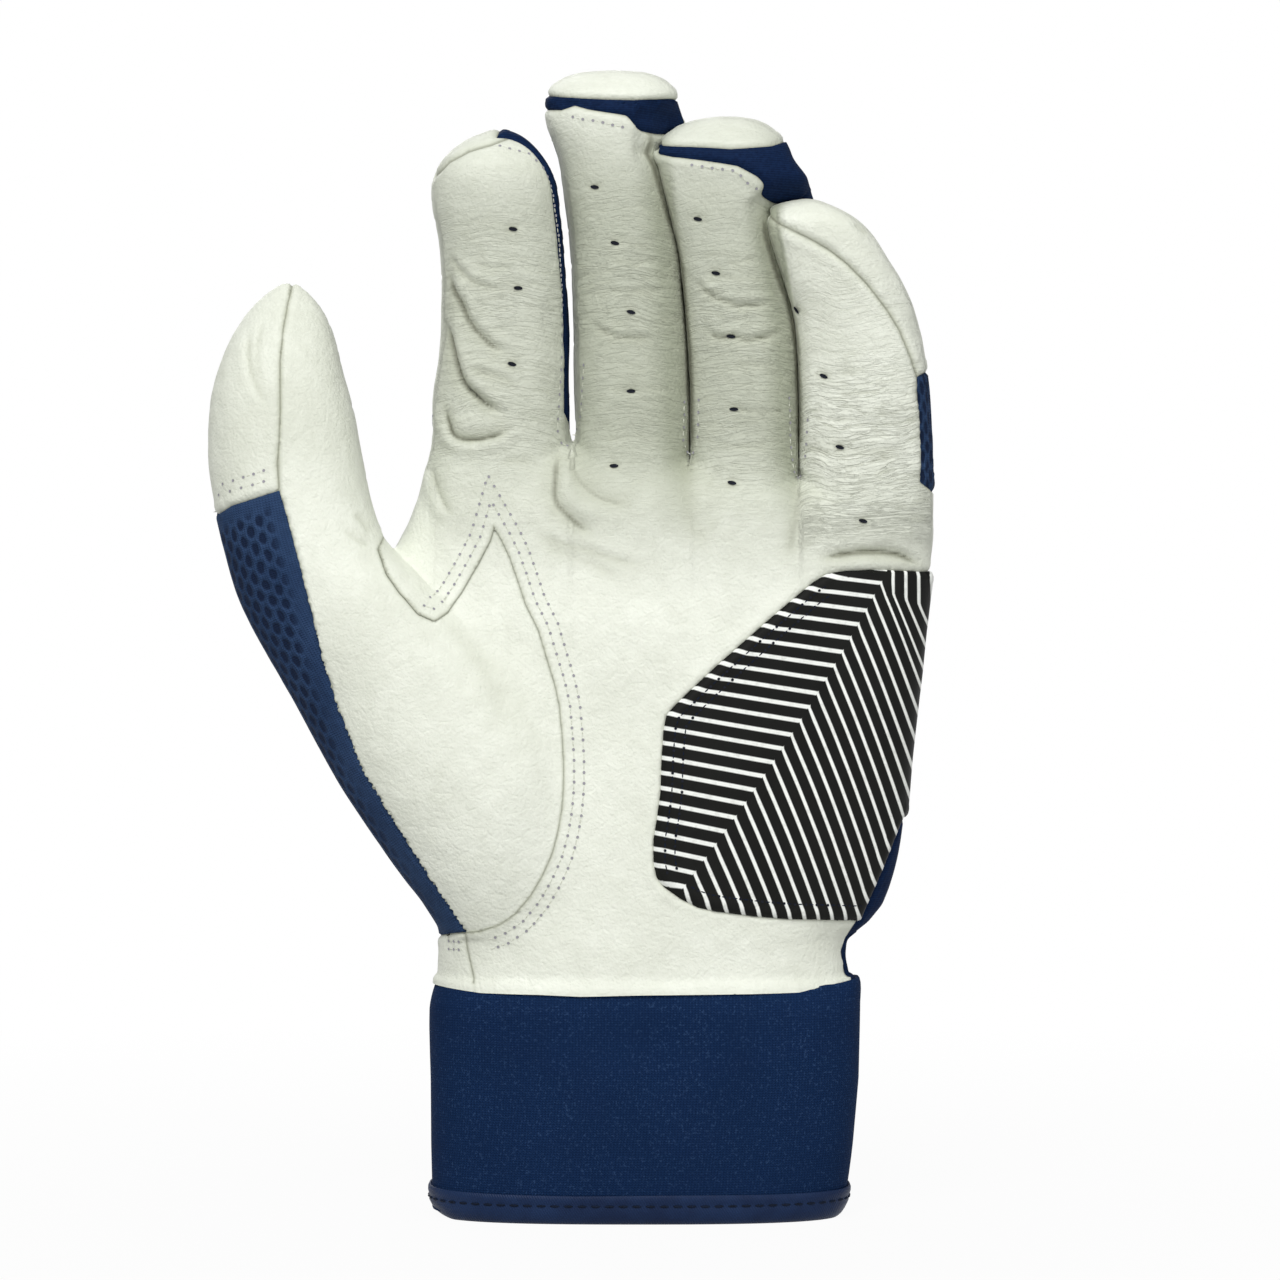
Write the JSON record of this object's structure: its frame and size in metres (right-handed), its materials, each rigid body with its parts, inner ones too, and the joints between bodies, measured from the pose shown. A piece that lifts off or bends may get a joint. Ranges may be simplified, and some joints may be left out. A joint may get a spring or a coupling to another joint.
{
  "type": "batting glove",
  "caption": "Left-hand batting glove in soft leather with navy mesh back, striped heel patch, elastic cuff and a wrist strap.",
  "frame": {"origin": "centre of the bounding box at the hem of the cuff, on which the glove stands", "axes": "+Z from the hem to the fingertips, -Y the palm side, +X the little finger's side"},
  "size_m": [0.1457, 0.046, 0.23],
  "materials": {
    "leather": "off-white sheepskin leather, fine grain, matt sheen",
    "air_mesh": "navy air mesh with staggered oval holes",
    "stretch_fabric": "navy stretch knit",
    "heel_patch": "black printed leather with thin white mitred stripes",
    "cuff_fabric": "navy woven elastic with fine horizontal ribs",
    "binding": "navy folded binding tape, slightly glossy",
    "hook_and_loop": "dark hook and loop pile"
  },
  "bodies": {
    "hand": {"palm_leather": "leather", "thenar_leather": "leather", "thumb_mesh": "air_mesh", "wrist_side_leather": "leather", "wrist_gusset": "stretch_fabric", "back_mesh": "air_mesh", "heel_patch": "heel_patch", "slit_binding": "binding", "index_middle_gusset": "stretch_fabric", "middle_ring_gusset": "stretch_fabric", "ring_little_gusset": "stretch_fabric", "cuff_band": "cuff_fabric", "cuff_binding": "binding", "loop_pad": "hook_and_loop", "strap_anchor": "cuff_fabric", "index_crease": "leather", "middle_crease": "leather", "ring_crease": "leather", "little_crease": "leather", "thumb_crease": "leather"},
    "index_finger": {"index_front_tip": "leather", "index_back_cap": "leather", "index_tip_gusset": "stretch_fabric"},
    "middle_finger": {"middle_front_tip": "leather", "middle_back_cap": "leather", "middle_tip_gusset": "stretch_fabric"},
    "ring_finger": {"ring_front_tip": "leather", "ring_back_cap": "leather", "ring_tip_gusset": "stretch_fabric"},
    "little_finger": {"little_front_tip": "leather", "little_back_cap": "leather", "little_tip_gusset": "stretch_fabric"},
    "thumb_tip": {"thumb_front_tip": "leather", "thumb_back_cap": "leather"},
    "strap": {"closure_strap": "cuff_fabric", "hook_pad": "hook_and_loop", "pull_tab": "leather"}
  },
  "joints": [
    {"name": "index_curl", "type": "hinge", "parent": "hand", "child": "index_finger", "pos_m": [-0.0132, -0.005, 0.17606], "axis": [1, 0, 0], "range_deg": [0, 60], "stiffness_Nm_per_rad": 0.03, "deforming": ["index_crease"]},
    {"name": "middle_curl", "type": "hinge", "parent": "hand", "child": "middle_finger", "pos_m": [0.0116, -0.005, 0.18005], "axis": [1, 0, 0], "range_deg": [0, 60], "stiffness_Nm_per_rad": 0.03, "deforming": ["middle_crease"]},
    {"name": "ring_curl", "type": "hinge", "parent": "hand", "child": "ring_finger", "pos_m": [0.0342, -0.005, 0.17394], "axis": [1, 0, 0], "range_deg": [0, 60], "stiffness_Nm_per_rad": 0.03, "deforming": ["ring_crease"]},
    {"name": "little_curl", "type": "hinge", "parent": "hand", "child": "little_finger", "pos_m": [0.059, -0.0065, 0.16388], "axis": [1, 0, 0], "range_deg": [0, 60], "stiffness_Nm_per_rad": 0.03, "deforming": ["little_crease"]},
    {"name": "thumb_curl", "type": "hinge", "parent": "hand", "child": "thumb_tip", "pos_m": [-0.0538, -0.009, 0.15465], "axis": [0.5, 0.866, 0], "range_deg": [0, 45], "stiffness_Nm_per_rad": 0.03, "deforming": ["thumb_crease"]},
    {"name": "strap_open", "type": "hinge", "parent": "hand", "child": "strap", "pos_m": [0.05, 0.0172, 0.026], "axis": [0, 0, -1], "range_deg": [0, 110]}
  ]
}
